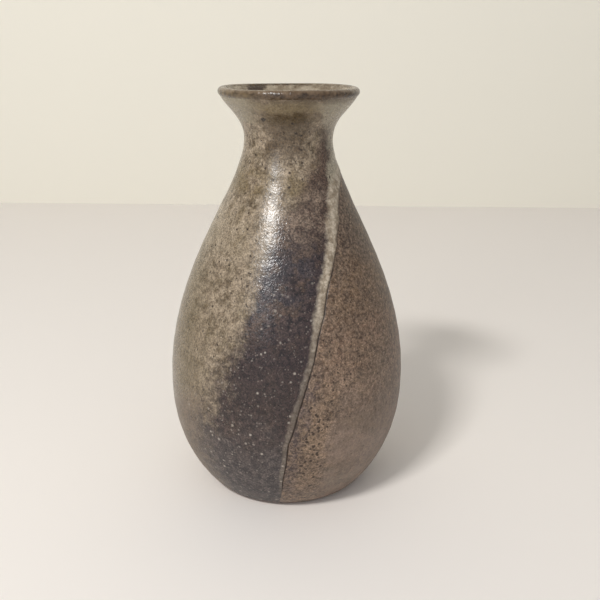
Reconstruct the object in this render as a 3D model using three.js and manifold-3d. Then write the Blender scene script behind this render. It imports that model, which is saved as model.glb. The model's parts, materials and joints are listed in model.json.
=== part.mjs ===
// A pear-shaped sake bottle (tokkuri) of wheel-thrown stoneware, dipped in two glazes.
//
// The bottle is one fired piece of clay with five layers of glass on it, so each node is one
// of those bodies of material: the clay, the glaze coat on either side of the slanted line
// where the two dips meet, the bead where one coat laps the other, the band round the lip,
// and the liner inside. Millimetres, +Z up. The axis is Z, and the foot stands on z = 0.

import * as THREE from "three";
import { mergeVertices } from "three/addons/utils/BufferGeometryUtils.js";
import Module from "manifold-3d";

// Outside of the bottle, over the glaze.
const HEIGHT = 150;
const FOOT_EDGE = { radius: 30.7, height: 1.2, rise: THREE.MathUtils.degToRad(48.8) };
const BELLY = { radius: 44.75, height: 43.5 };
const NECK = { radius: 15.9, height: 132.2 };
const LIP_RADIUS = 25.08;
const LIP_ROLL = 1.33; // radius of the rounded lip, so the lip is twice this thick
const FLARE = THREE.MathUtils.degToRad(57.8); // steepness of the mouth under the lip

// How far each curve runs straight before it turns: the handles of the outline.
const PULL = { foot: 22.4, bellyBelow: 6, bellyAbove: 39.5, neckBelow: 16.4, neckAbove: 7, flare: 7 };

// Inside of the bottle, over the liner.
const WALL = { belly: 4.6, neck: 3.5 };
const FLOOR = 7;
const FLOOR_PULL = 30;

// Underside: a low foot ring trimmed into the clay.
const RING_OUTER = 29.3;
const RING_INNER = 22;
const RING_BEVEL = 1.5;
const RECESS = 1.8;

// Glaze: every coat is a shell of this thickness, a hair off the clay that carries it.
const GLAZE = 0.6;
const SKIN_GAP = 0.1;
const CUT_GAP = 0.3;

// The line where the two dips meet lies in a plane that leans away from the axis.
const DIP_SLOPE = Math.tan(THREE.MathUtils.degToRad(12));
const DIP_FOOT_X = -5.1;
const DIP_TOP = 130; // above the point where the plane leaves the bottle
const BEAD = { proud: 0.6, widthLow: 1.6, widthHigh: 3.8 };

const ROUND_STEPS = 36;
const CURVE_STEPS = { foot: 5, shoulder: 8, flare: 4, lip: 4, floor: 6 };

const BEYOND = 60; // clear of the bottle on every side

const lip = new THREE.Vector2(LIP_RADIUS - LIP_ROLL, HEIGHT - LIP_ROLL);
const flareWay = new THREE.Vector2(Math.cos(FLARE), Math.sin(FLARE));
const lipOut = lip.clone().add(new THREE.Vector2(flareWay.y, -flareWay.x).multiplyScalar(LIP_ROLL));
const lipIn = lip.clone().sub(new THREE.Vector2(flareWay.y, -flareWay.x).multiplyScalar(LIP_ROLL));

// Half sections, x = distance from the axis and y = height.

function outsideCurves() {
  const footEnd = new THREE.Vector2(FOOT_EDGE.radius, FOOT_EDGE.height);
  const footPull = new THREE.Vector2(Math.cos(FOOT_EDGE.rise), Math.sin(FOOT_EDGE.rise));
  const belly = new THREE.Vector2(BELLY.radius, BELLY.height);
  const neck = new THREE.Vector2(NECK.radius, NECK.height);
  return {
    foot: new THREE.CubicBezierCurve(
      footEnd,
      footEnd.clone().addScaledVector(footPull, PULL.foot),
      new THREE.Vector2(BELLY.radius, BELLY.height - PULL.bellyBelow),
      belly,
    ),
    shoulder: new THREE.CubicBezierCurve(
      belly,
      new THREE.Vector2(BELLY.radius, BELLY.height + PULL.bellyAbove),
      new THREE.Vector2(NECK.radius, NECK.height - PULL.neckBelow),
      neck,
    ),
    flare: new THREE.CubicBezierCurve(
      neck,
      new THREE.Vector2(NECK.radius, NECK.height + PULL.neckAbove),
      lipOut.clone().addScaledVector(flareWay, -PULL.flare),
      lipOut,
    ),
  };
}

function insideCurves() {
  const belly = new THREE.Vector2(BELLY.radius - WALL.belly, BELLY.height);
  const neck = new THREE.Vector2(NECK.radius - WALL.neck, NECK.height);
  const floor = new THREE.Vector2(0, FLOOR);
  return {
    flare: new THREE.CubicBezierCurve(
      lipIn,
      lipIn.clone().addScaledVector(flareWay, -PULL.flare),
      new THREE.Vector2(neck.x, neck.y + PULL.neckAbove),
      neck,
    ),
    shoulder: new THREE.CubicBezierCurve(
      neck,
      new THREE.Vector2(neck.x, neck.y - PULL.neckBelow),
      new THREE.Vector2(belly.x, belly.y + PULL.bellyAbove),
      belly,
    ),
    floor: new THREE.CubicBezierCurve(
      belly,
      new THREE.Vector2(belly.x, belly.y - PULL.foot),
      new THREE.Vector2(FLOOR_PULL, FLOOR),
      floor,
    ),
  };
}

// Points along a curve, each moved to its left by a depth: into the clay on both walls.
function sectionOf(curve, steps, depth) {
  const points = [];
  for (let i = 0; i <= steps; i += 1) {
    const way = curve.getTangent(i / steps);
    const left = new THREE.Vector2(-way.y, way.x);
    const point = curve.getPoint(i / steps).addScaledVector(left, depth);
    points.push(new THREE.Vector2(Math.max(0, point.x), point.y));
  }
  return points;
}

function outsideSection(depth) {
  const curves = outsideCurves();
  return [
    ...sectionOf(curves.foot, CURVE_STEPS.foot, depth),
    ...sectionOf(curves.shoulder, CURVE_STEPS.shoulder, depth).slice(1),
    ...sectionOf(curves.flare, CURVE_STEPS.flare, depth).slice(1),
  ];
}

function insideSection(depth) {
  const curves = insideCurves();
  return [
    ...sectionOf(curves.flare, CURVE_STEPS.flare, depth),
    ...sectionOf(curves.shoulder, CURVE_STEPS.shoulder, depth).slice(1),
    ...sectionOf(curves.floor, CURVE_STEPS.floor, depth).slice(1),
  ];
}

function lipSection(radius, from, to) {
  const points = [];
  for (let i = 0; i <= CURVE_STEPS.lip; i += 1) {
    const angle = THREE.MathUtils.lerp(from, to, i / CURVE_STEPS.lip);
    points.push(new THREE.Vector2(lip.x + radius * Math.cos(angle), lip.y + radius * Math.sin(angle)));
  }
  return points;
}

// Turns a half section round the axis and stands it up along Z.
function turned(points) {
  return new THREE.LatheGeometry(points, ROUND_STEPS).rotateX(Math.PI / 2);
}

// A shell between two sections that run the same way.
function shell(outer, inner) {
  return turned([...outer, ...inner.toReversed(), outer[0]]);
}

// Solid behind an outline that is drawn in the XZ plane, running right through along Y.
function throughPrism(corners) {
  const shape = new THREE.Shape(corners.map(([x, z]) => new THREE.Vector2(x, z)));
  const geometry = new THREE.ExtrudeGeometry(shape, { depth: 2 * BEYOND, bevelEnabled: false });
  return geometry.translate(0, 0, -BEYOND).rotateX(Math.PI / 2);
}

const wasm = await Module();
wasm.setup();

function toSolid(geometry) {
  const bare = geometry.clone();
  bare.deleteAttribute("normal");
  bare.deleteAttribute("uv");
  const merged = mergeVertices(bare);
  const mesh = { numProp: 3, vertProperties: merged.attributes.position.array };
  return new wasm.Manifold(new wasm.Mesh({ ...mesh, triVerts: new Uint32Array(merged.index.array) }));
}

function toGeometry(solid) {
  const mesh = solid.getMesh();
  const geometry = new THREE.BufferGeometry();
  geometry.setAttribute("position", new THREE.Float32BufferAttribute(mesh.vertProperties, 3));
  geometry.setIndex([...mesh.triVerts]);
  geometry.computeVertexNormals();
  return geometry;
}

// The stretch right of a line beside the dip line. The bead lies on the left of the dip line.
const dipX = (z) => DIP_FOOT_X + DIP_SLOPE * z;
const beadWidth = (z) => THREE.MathUtils.mapLinear(z, 0, DIP_TOP, BEAD.widthLow, BEAD.widthHigh);
const beadLeftX = (z) => dipX(z) - beadWidth(z);

function prismBetween(leftX, rightX) {
  const low = -1;
  return throughPrism([
    [leftX(low), low],
    [rightX(low), low],
    [rightX(DIP_TOP), DIP_TOP],
    [leftX(DIP_TOP), DIP_TOP],
  ]);
}

function clayBody() {
  const depth = GLAZE + SKIN_GAP;
  const rollEnd = FLARE + Math.PI / 2;
  return turned([
    new THREE.Vector2(0, RECESS),
    new THREE.Vector2(RING_INNER - RING_BEVEL, RECESS),
    new THREE.Vector2(RING_INNER, 0),
    new THREE.Vector2(RING_OUTER, 0),
    ...outsideSection(depth),
    ...lipSection(LIP_ROLL - depth, rollEnd - Math.PI, rollEnd).slice(1, -1),
    ...insideSection(depth),
  ]);
}

function outerCoat() {
  return toSolid(shell(outsideSection(0), outsideSection(GLAZE)));
}

function ashGlazeCoat() {
  const rest = prismBetween((z) => beadLeftX(z) - CUT_GAP, () => BEYOND);
  return toGeometry(outerCoat().subtract(toSolid(rest)));
}

function ironGlazeCoat() {
  const side = prismBetween((z) => dipX(z) + CUT_GAP, () => BEYOND);
  return toGeometry(outerCoat().intersect(toSolid(side)));
}

function overlapBead() {
  const thick = toSolid(shell(outsideSection(-BEAD.proud), outsideSection(GLAZE)));
  return toGeometry(thick.intersect(toSolid(prismBetween(beadLeftX, dipX))));
}

function lipBand() {
  const gapAngle = CUT_GAP / LIP_ROLL;
  const from = FLARE - Math.PI / 2 + gapAngle;
  const to = FLARE + Math.PI / 2 - gapAngle;
  return shell(lipSection(LIP_ROLL, from, to), lipSection(LIP_ROLL - GLAZE, from, to));
}

function linerGlaze() {
  return turned([...insideSection(GLAZE).toReversed(), ...insideSection(0)]);
}

const FINISHES = {
  clay: { color: 0x6e5b4c, roughness: 0.85, metalness: 0 },
  ash: { color: 0xa59d86, roughness: 0.25, metalness: 0 },
  iron: { color: 0x7d6854, roughness: 0.4, metalness: 0 },
  bead: { color: 0xc8beab, roughness: 0.3, metalness: 0 },
  rim: { color: 0x4b392c, roughness: 0.3, metalness: 0 },
  liner: { color: 0xb8af9b, roughness: 0.3, metalness: 0 },
};

function piece(name, geometry, finish) {
  const mesh = new THREE.Mesh(geometry, new THREE.MeshStandardMaterial(FINISHES[finish]));
  mesh.name = name;
  return mesh;
}

const bottle = new THREE.Group();
bottle.add(piece("clay_body", clayBody(), "clay"));
bottle.add(piece("ash_glaze_coat", ashGlazeCoat(), "ash"));
bottle.add(piece("iron_glaze_coat", ironGlazeCoat(), "iron"));
bottle.add(piece("overlap_bead", overlapBead(), "bead"));
bottle.add(piece("lip_band", lipBand(), "rim"));
bottle.add(piece("liner_glaze", linerGlaze(), "liner"));

export default bottle;
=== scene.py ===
# %% [markdown]
# # A sake bottle in two glazes
#
# This lesson finishes one pear-shaped stoneware sake bottle. The bottle is a single fired
# pot, thrown on a wheel and dipped twice. Its layers are made one by one: the clay, the two
# glaze coats, the raised bead where the coats overlap, the iron-brown lip, and the liner
# inside. The imported model gives the height, the glaze line and the belly and lip radii, so
# nothing is fitted afterwards.

import json
import math

import bpy
import numpy as np
from mathutils import Matrix, Vector, noise
from mathutils.geometry import interpolate_bezier

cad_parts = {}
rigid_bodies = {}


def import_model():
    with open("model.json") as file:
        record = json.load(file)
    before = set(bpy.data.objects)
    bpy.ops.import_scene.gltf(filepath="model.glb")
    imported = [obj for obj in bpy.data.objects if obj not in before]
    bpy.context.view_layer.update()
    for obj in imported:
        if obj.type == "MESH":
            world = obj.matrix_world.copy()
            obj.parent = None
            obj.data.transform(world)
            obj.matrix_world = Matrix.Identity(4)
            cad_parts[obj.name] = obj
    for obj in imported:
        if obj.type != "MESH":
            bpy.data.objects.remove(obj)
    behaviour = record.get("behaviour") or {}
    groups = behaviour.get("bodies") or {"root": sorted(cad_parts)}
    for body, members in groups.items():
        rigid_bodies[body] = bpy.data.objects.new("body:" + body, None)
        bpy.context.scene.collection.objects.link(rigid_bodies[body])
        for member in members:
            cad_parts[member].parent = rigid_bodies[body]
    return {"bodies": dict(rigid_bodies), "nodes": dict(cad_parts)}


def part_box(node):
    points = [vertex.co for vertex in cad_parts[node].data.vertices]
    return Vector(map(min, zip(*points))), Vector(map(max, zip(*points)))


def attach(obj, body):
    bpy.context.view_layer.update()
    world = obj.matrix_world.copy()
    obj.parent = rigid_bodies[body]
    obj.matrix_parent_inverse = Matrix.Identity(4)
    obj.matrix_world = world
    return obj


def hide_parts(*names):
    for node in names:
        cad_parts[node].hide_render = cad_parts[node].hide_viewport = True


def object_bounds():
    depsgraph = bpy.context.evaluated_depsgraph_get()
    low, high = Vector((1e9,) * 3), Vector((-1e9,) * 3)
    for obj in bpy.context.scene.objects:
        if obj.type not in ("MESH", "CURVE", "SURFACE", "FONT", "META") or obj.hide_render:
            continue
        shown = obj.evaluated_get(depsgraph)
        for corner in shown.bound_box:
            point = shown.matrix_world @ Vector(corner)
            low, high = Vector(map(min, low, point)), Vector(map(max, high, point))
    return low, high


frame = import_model()
CAD_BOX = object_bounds()
MM = 0.001
BODY = next(iter(frame["bodies"]))
print("body", BODY, "nodes", sorted(frame["nodes"]))

# %% [markdown]
# ## Camera
#
# A small pot on a table is usually seen from arm's length, a little from above. The camera
# could be aimed with a Track To constraint, but three turns say the same thing exactly: down,
# a touch to the right of the bottle, and a slight roll of the hand that held it.

# %% Camera
CAMERA_BACK_MM, CAMERA_HEIGHT_MM = 276.9, 164.1
LENS_MM, SENSOR_MM = 45.7, 36
NEAREST_SEEN_MM = 10
LOOK_DOWN, LOOK_RIGHT, HAND_ROLL = (math.radians(a) for a in (18.57, 1.0, 0.71))

scene = bpy.context.scene
camera = bpy.data.objects.new("camera", bpy.data.cameras.new("camera"))
scene.collection.objects.link(camera)
camera.data.sensor_width = SENSOR_MM
camera.data.lens = LENS_MM
aim = Matrix.Rotation(-LOOK_RIGHT, 3, "Z")
aim = aim @ Matrix.Rotation(math.radians(90) - LOOK_DOWN, 3, "X")
aim = aim @ Matrix.Rotation(HAND_ROLL, 3, "Z")
stand = Vector((0, -CAMERA_BACK_MM, CAMERA_HEIGHT_MM)) * MM
camera.matrix_world = Matrix.Translation(stand) @ aim.to_4x4()
camera.data.clip_start = NEAREST_SEEN_MM * MM
scene.camera = camera
print("camera at", [round(c, 4) for c in camera.location])

# %% [markdown]
# ## Floor, wall and light
#
# The pot stands on pale paper in front of a cream wall. Both stay plain, so that every colour
# on the pot can be judged. A soft lamp high at the front left gives the highlight on the
# shoulder, and a wider one below it lifts the shade around that. The room itself is a world
# colour, which reaches every side of the pot. It is stronger in front and behind than at the
# sides, as in a room with windows, and that keeps the pot's left and right edges dark.

# %% Plain surfaces
WALL_BACK, WALL_TOP = 0.53, 1.2
FLOOR_FRONT, STAGE_HALF = -1.2, 1.6


def plain_material(name, colour, roughness):
    material = bpy.data.materials.new(name)
    material.use_nodes = True
    shader = material.node_tree.nodes["Principled BSDF"]
    shader.inputs["Base Color"].default_value = (*colour, 1)
    shader.inputs["Roughness"].default_value = roughness
    return material


def stage_plane(name, corners, material):
    mesh = bpy.data.meshes.new(name)
    mesh.from_pydata(corners, [], [(0, 1, 2, 3)])
    mesh.materials.append(material)
    plane = bpy.data.objects.new(name, mesh)
    scene.collection.objects.link(plane)


paper = plain_material("pale_paper", (0.925, 0.87, 0.81), 0.7)
plaster = plain_material("cream_wall", (0.885, 0.845, 0.735), 0.9)
stage_plane("floor", [
    (-STAGE_HALF, FLOOR_FRONT, 0),
    (STAGE_HALF, FLOOR_FRONT, 0),
    (STAGE_HALF, WALL_BACK, 0),
    (-STAGE_HALF, WALL_BACK, 0),
], paper)
stage_plane("backdrop", [
    (-STAGE_HALF, WALL_BACK, 0),
    (STAGE_HALF, WALL_BACK, 0),
    (STAGE_HALF, WALL_BACK, WALL_TOP),
    (-STAGE_HALF, WALL_BACK, WALL_TOP),
], plaster)

# %% Lights
scene.view_settings.view_transform = "Standard"


def area_light(name, azimuth, elevation, distance, size, watts, colour):
    """A flat lamp that faces the bottle. Azimuth 0 is in front, and it grows towards +X."""
    light = bpy.data.lights.new(name, "AREA")
    light.shape = "RECTANGLE"
    light.size, light.size_y = size
    light.energy = watts
    light.color = colour
    lamp = bpy.data.objects.new(name, light)
    scene.collection.objects.link(lamp)
    a, e = math.radians(azimuth), math.radians(elevation)
    away = Vector((math.sin(a) * math.cos(e), -math.cos(a) * math.cos(e), math.sin(e)))
    middle = Vector((0, 0, (CAD_BOX[0].z + CAD_BOX[1].z) / 2))
    lamp.location = middle + away * distance
    lamp.rotation_euler = (-away).to_track_quat("-Z", "Y").to_euler()


area_light("window_lamp", -33.5, 45, 1.0, (0.19, 0.09), 5.9, (0.99, 0.98, 0.97))
area_light("room_lamp", -31, 25, 1.2, (0.35, 0.45), 1.2, (0.90, 0.95, 1.0))

# %% Room
ROOM_COLOUR = (0.93, 0.95, 1.0, 1)
ROOM_AT_THE_SIDES, ROOM_MORE_AHEAD = 0.34, 0.44

room = bpy.data.worlds.new("room")
room.use_nodes = True
room_nodes, room_links = room.node_tree.nodes, room.node_tree.links
room_light = room_nodes["Background"]
room_light.inputs["Color"].default_value = ROOM_COLOUR
direction = room_nodes.new("ShaderNodeTexCoord").outputs["Generated"]
split = room_nodes.new("ShaderNodeSeparateXYZ")
room_links.new(direction, split.inputs[0])
ahead_squared = room_nodes.new("ShaderNodeMath")
ahead_squared.operation = "MULTIPLY"
strength = room_nodes.new("ShaderNodeMath")
strength.operation = "MULTIPLY_ADD"
strength.inputs[1].default_value = ROOM_MORE_AHEAD
strength.inputs[2].default_value = ROOM_AT_THE_SIDES
for socket in ahead_squared.inputs[:2]:
    room_links.new(split.outputs[1], socket)
room_links.new(ahead_squared.outputs[0], strength.inputs[0])
room_links.new(strength.outputs[0], room_light.inputs["Strength"])
scene.world = room
print("room strength", ROOM_AT_THE_SIDES, "to", ROOM_AT_THE_SIDES + ROOM_MORE_AHEAD)

# %% [markdown]
# ## The outline
#
# A potter reads a bottle as one line: foot, belly, neck and lip. Three Bezier curves carry
# that line with few points, and they bend as clay does. The height, the glaze line and the
# belly and lip radii come from the imported model's boxes, and the other sizes are given.
# Points are then spaced evenly along the line, so the faces of the finished mesh are nearly
# square.

# %% Main dimensions, in millimetres
ash_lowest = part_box("ash_glaze_coat")[0] / MM
lip_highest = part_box("lip_band")[1] / MM
HEIGHT = lip_highest.z
BELLY_RADIUS = -ash_lowest.x
LIP_RADIUS = lip_highest.x
GLAZE_LINE = ash_lowest.z
LIP_ROLL = 1.5
FOOT_EDGE_RADIUS = 30.7
FOOT_RISE = math.radians(48.8)
BELLY_HEIGHT = 43.5
NECK_RADIUS, NECK_HEIGHT = 15.9, 132.2
FLARE = math.radians(57.8)
GLAZE = 0.6
BELLY_WALL, NECK_WALL = 4.6, 3.5
FLOOR_HEIGHT = 7.0
print(f"height {HEIGHT:.1f}, belly {BELLY_RADIUS:.2f}, lip {LIP_RADIUS:.2f} mm")

# %% The line as evenly spaced points
POINTS_A_STRETCH = 300
LIP_MIDDLE = Vector((LIP_RADIUS - LIP_ROLL, HEIGHT - LIP_ROLL))
FLARE_WAY = Vector((math.cos(FLARE), math.sin(FLARE)))
FLARE_OUT = Vector((FLARE_WAY.y, -FLARE_WAY.x))
LIP_OUTSIDE = LIP_MIDDLE + FLARE_OUT * LIP_ROLL
LIP_INSIDE = LIP_MIDDLE - FLARE_OUT * LIP_ROLL


def curve_line(stretches):
    """Joins Bezier stretches, each given as point, handle, handle, point."""
    points = []
    for stretch in stretches:
        knots = [Vector((*p, 0)) for p in stretch]
        points += [p.to_2d() for p in interpolate_bezier(*knots, POINTS_A_STRETCH)][bool(points):]
    return np.array(points)


def evenly(line, spacing):
    """Spaces points evenly along a line, and gives each one's normal on its right."""
    run = np.concatenate([[0], np.cumsum(np.linalg.norm(np.diff(line, axis=0), axis=1))])
    count = max(2, round(run[-1] / spacing))
    stops = np.linspace(0, run[-1], count + 1)
    points = np.stack([np.interp(stops, run, line[:, k]) for k in (0, 1)], axis=1)
    way = np.gradient(points, axis=0)
    way /= np.linalg.norm(way, axis=1)[:, None]
    return points, np.stack([way[:, 1], -way[:, 0]], axis=1)


# %% Outside and inside
FOOT_PULL, FLOOR_PULL = 22.4, 30
UNDER_BELLY_PULL, INNER_BELLY_PULL = 6, 22.4
SHOULDER_PULL, NECK_PULL, FLARE_PULL = 39.5, 16.4, 7
LEAN_REACH = 0.2


def above_belly(belly, neck, lip_end):
    """The two stretches from the belly up, which the outside and the inside share."""
    return [
        ((belly, BELLY_HEIGHT), (belly, BELLY_HEIGHT + SHOULDER_PULL),
         (neck, NECK_HEIGHT - NECK_PULL), (neck, NECK_HEIGHT)),
        ((neck, NECK_HEIGHT), (neck, NECK_HEIGHT + FLARE_PULL),
         lip_end - FLARE_WAY * FLARE_PULL, lip_end),
    ]


foot_start = Vector((FOOT_EDGE_RADIUS, GLAZE_LINE))
foot_handle = foot_start + Vector((math.cos(FOOT_RISE), math.sin(FOOT_RISE))) * FOOT_PULL
INNER_BELLY, INNER_NECK = BELLY_RADIUS - BELLY_WALL, NECK_RADIUS - NECK_WALL
OUTSIDE = curve_line([
    (foot_start, foot_handle, (BELLY_RADIUS, BELLY_HEIGHT - UNDER_BELLY_PULL),
     (BELLY_RADIUS, BELLY_HEIGHT)),
    *above_belly(BELLY_RADIUS, NECK_RADIUS, LIP_OUTSIDE),
])
INSIDE = curve_line([
    ((0, FLOOR_HEIGHT), (FLOOR_PULL, FLOOR_HEIGHT),
     (INNER_BELLY, BELLY_HEIGHT - INNER_BELLY_PULL), (INNER_BELLY, BELLY_HEIGHT)),
    *above_belly(INNER_BELLY, INNER_NECK, LIP_INSIDE),
])


def outside_radius(z):
    return np.interp(z, OUTSIDE[:, 1], OUTSIDE[:, 0])


def outside_lean(z):
    """How fast the outside widens with height."""
    return (outside_radius(z + LEAN_REACH) - outside_radius(z - LEAN_REACH)) / (2 * LEAN_REACH)


print("outline points", len(OUTSIDE), "inside points", len(INSIDE))

# %% [markdown]
# ## The potter's hand
#
# A turned shape from a computer is too true. On the wheel the fingers leave a slow spiral,
# the neck is squeezed in by hand, and the pot goes slightly out of round as it dries. Every
# piece passes through the same function, so the layers stay nested.

# %% Marks of the hand
SPIRAL_PITCH, SPIRAL_DEPTH = 7.5, 0.03
COLLAR_HEIGHT, COLLAR_REACH, COLLAR_PITCH, COLLAR_DEPTH = 116, 12, 17, 0.09
OVAL, SWAY, SWAY_SIZE = 0.0035, 0.22, 38
SWAY_SEED = Vector((7, 3, 1))
FADE_HEIGHT, QUIET_RADIUS = 12, 6
LIP_TIP = 0.12


def by_hand(points):
    """Moves true points, in millimetres, to where a hand-thrown wall would have them."""
    x, y, z = points.T
    radius = np.hypot(x, y)
    turn = np.arctan2(x, -y)
    fade = np.clip(z / FADE_HEIGHT, 0, 1) * np.clip((HEIGHT + 3 - z) / FADE_HEIGHT, 0.15, 1)
    spiral = SPIRAL_DEPTH * np.sin(2 * np.pi * z / SPIRAL_PITCH + turn)
    near_collar = np.exp(-((z - COLLAR_HEIGHT) / COLLAR_REACH) ** 2)
    collar = COLLAR_DEPTH * near_collar * np.sin(2 * np.pi * z / COLLAR_PITCH + turn + 1.2)
    ring = np.stack([np.sin(turn), -np.cos(turn), z / SWAY_SIZE], axis=1)
    sway = SWAY * np.array([noise.noise(Vector(p) + SWAY_SEED) for p in ring])
    push = (spiral + collar + sway) * fade + OVAL * radius * np.cos(2 * turn + 0.5)
    quiet = np.clip(radius / QUIET_RADIUS, 0, 1)
    scale = 1 + push / np.maximum(radius, QUIET_RADIUS) * quiet
    tip = LIP_TIP * np.clip((z - NECK_HEIGHT) / (HEIGHT - NECK_HEIGHT), 0, 1) ** 2
    lift = tip * (1.6 * np.sin(turn - 0.4) + np.sin(3 * turn + 1))
    return np.stack([x * scale, y * scale, z + lift], axis=1)


round_belly = np.array([
    (BELLY_RADIUS * math.sin(a), -BELLY_RADIUS * math.cos(a), BELLY_HEIGHT)
    for a in np.radians(range(0, 360, 5))
])
belly_radii = np.hypot(*by_hand(round_belly).T[:2])
print(f"the belly's radius now goes from {belly_radii.min():.2f} to {belly_radii.max():.2f} mm")

# %% [markdown]
# ## The dip line
#
# The two glazes meet where the pot was held aslant in the second bucket. The bucket's surface
# is level, so on the pot the line lies in a plane: it climbs the front, goes over the right
# of the neck, and comes down the back. It wanders a little where the glaze ran. Each point's
# distance from this line is kept in the mesh, so that shape and colour agree about it.

# %% Distance from the dip line
DIP_SLOPE = math.tan(math.radians(12))
DIP_FOOT_X = -5.1
TURN_OVER = 16
LEAST_SLANT = 0.12
FRONT_BENDS = [
    (0, 1.6), (6, 1.5), (12, 0.9), (17, 0.3), (25, -0.3), (33, -1.4), (38, -0.8), (45, -0.5),
    (53, 0), (63, 0.8), (70, 0.5), (78, 0.9), (84, 0.4), (92, 0.8), (99, 0.9), (103, 0.1),
    (106, 0.5), (110, -0.7), (118, -1.6), (126, -1.6),
]
BACK_BENDS = [
    (0, -0.6), (9, 0.8), (20, 1.1), (31, 0.2), (40, -0.9), (52, -0.2), (61, 0.7), (73, 0.1),
    (82, -0.8), (95, 0.3), (104, 0.7), (111, -0.9), (118, -1.6), (126, -1.6),
]


def bends(z, front):
    """The sideways wander of the line, eased between the front's and the back's."""
    ahead, behind = (np.interp(z, *np.array(b).T) for b in (FRONT_BENDS, BACK_BENDS))
    return ahead * front + behind * (1 - front)


def dip_x(y, z):
    front = np.clip(0.5 - y / TURN_OVER, 0, 1)
    return DIP_FOOT_X + DIP_SLOPE * z + bends(z, front)


def across_dip(points):
    """Distance along the surface from the dip line, below zero on the ash side."""
    x, y, z = points.T
    off_plane = (x - dip_x(y, z)) / math.hypot(1, DIP_SLOPE)
    turn = np.arctan2(x, -y)
    lean = outside_lean(np.clip(z, GLAZE_LINE + 0.3, LIP_OUTSIDE.y - 0.3))
    level = 1 / np.hypot(1, lean)
    facing = (np.sin(turn) * level + lean * level * DIP_SLOPE) / math.hypot(1, DIP_SLOPE)
    return off_plane / np.sqrt(np.clip(1 - facing**2, LEAST_SLANT, 1))


print("dip line leaves the foot at x", round(float(dip_x(-30.0, 1.0)), 2), "mm")

# %% [markdown]
# ## Making closed skins
#
# A glaze coat is a thin skin with two faces and an edge. Blender's Solidify modifier can give
# a sheet its thickness, but it keeps that thickness right to the edge. Fired glaze thins to
# nothing there, so the inner face is made here by hand, closer and closer to the outer one.

# %% Meshes from arrays
def new_piece(name, points_mm, faces, **layers):
    """A mesh object in metres, with a float layer for every extra array of values."""
    mesh = bpy.data.meshes.new(name)
    mesh.from_pydata((np.asarray(points_mm) * MM).tolist(), [], faces)
    mesh.validate()
    mesh.polygons.foreach_set("use_smooth", [True] * len(mesh.polygons))
    for layer, values in layers.items():
        mesh.attributes.new(layer, "FLOAT", "POINT").data.foreach_set("value", values)
    piece = bpy.data.objects.new(name, mesh)
    scene.collection.objects.link(piece)
    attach(piece, BODY)
    print(name, len(mesh.vertices), "points", len(mesh.polygons), "faces")
    return piece


def turned(section, columns):
    """Every point of a half section, carried round the axis: rows of points."""
    turn = np.arange(columns) * 2 * np.pi / columns
    radius, z = section[:, 0:1], section[:, 1:2]
    rows = [radius * np.sin(turn), -radius * np.cos(turn), z + 0 * turn]
    return np.stack(rows, axis=2)


def rows_to_faces(rows, columns, loops=False):
    """Four-sided faces between rows of points. A looping section joins last row to first."""
    faces = []
    for i in range(rows if loops else rows - 1):
        low, high = i * columns, (i + 1) % rows * columns
        for j in range(columns):
            k = (j + 1) % columns
            faces.append((low + j, low + k, high + k, high + j))
    return faces


def close_ends(points, faces, columns):
    """Closes a turned skin whose first and last rows have shrunk to the axis."""
    first, last = len(points), len(points) + 1
    middles = [points[:columns].mean(axis=0), points[-columns:].mean(axis=0)]
    for j in range(columns):
        k = (j + 1) % columns
        faces.append((first, k, j))
        faces.append((last, len(points) - columns + j, len(points) - columns + k))
    return np.concatenate([points, middles]), faces


def shell_of(outer, inner, faces):
    """Joins an outer and an inner face of the same patch, with a wall round every edge.

    Gives the points in use, the faces, and each point's old number.
    """
    count = len(outer)
    used = dict.fromkeys((a, b) for face in faces for a, b in zip(face, face[1:] + face[:1]))
    walls = [(b, a, a + count, b + count) for a, b in used if (b, a) not in used]
    under = [tuple(i + count for i in reversed(face)) for face in faces]
    points, faces = np.concatenate([outer, inner]), faces + under + walls
    kept = np.unique(np.array([i for face in faces for i in face]))
    place = np.zeros(len(points), int)
    place[kept] = np.arange(len(kept))
    return points[kept], [tuple(int(place[i]) for i in face) for face in faces], kept


# %% [markdown]
# ## The two outer coats
#
# Both coats start as one fine turned skin. It is cut along the dip line in two steps: grid
# points next to the line slide on to it, and then every face falls cleanly on one side. The
# alternative, a boolean cut, would leave thin slivers that shade badly on a glossy surface.

# %% One fine skin for both coats
SKIN_STEP, SKIN_COLUMNS = 0.8, 352
EDGE_TAPER, EDGE_DROP = 2.2, 0.45
ALL_ASH_ABOVE, FAR_ON_ASH_SIDE = 131, -99
skin_line, skin_normal = evenly(OUTSIDE, SKIN_STEP)
skin_rows = len(skin_line)
taper_low = np.clip((skin_line[:, 1] - GLAZE_LINE) / EDGE_TAPER, 0, 1)
taper_high = np.clip((LIP_OUTSIDE.y - skin_line[:, 1]) / EDGE_TAPER, 0, 1)
skin_taper = np.sqrt(np.minimum(taper_low, taper_high))
skin_outer = skin_line - skin_normal * (EDGE_DROP * GLAZE * (1 - skin_taper))[:, None]
skin_inner = skin_line - skin_normal * (GLAZE * (0.5 + 0.5 * skin_taper))[:, None]
outer_grid = turned(skin_outer, SKIN_COLUMNS).reshape(-1, 3)
inner_grid = turned(skin_inner, SKIN_COLUMNS).reshape(-1, 3)
skin_faces = rows_to_faces(skin_rows, SKIN_COLUMNS)
print("skin", skin_rows, "rows of", SKIN_COLUMNS)


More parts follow.
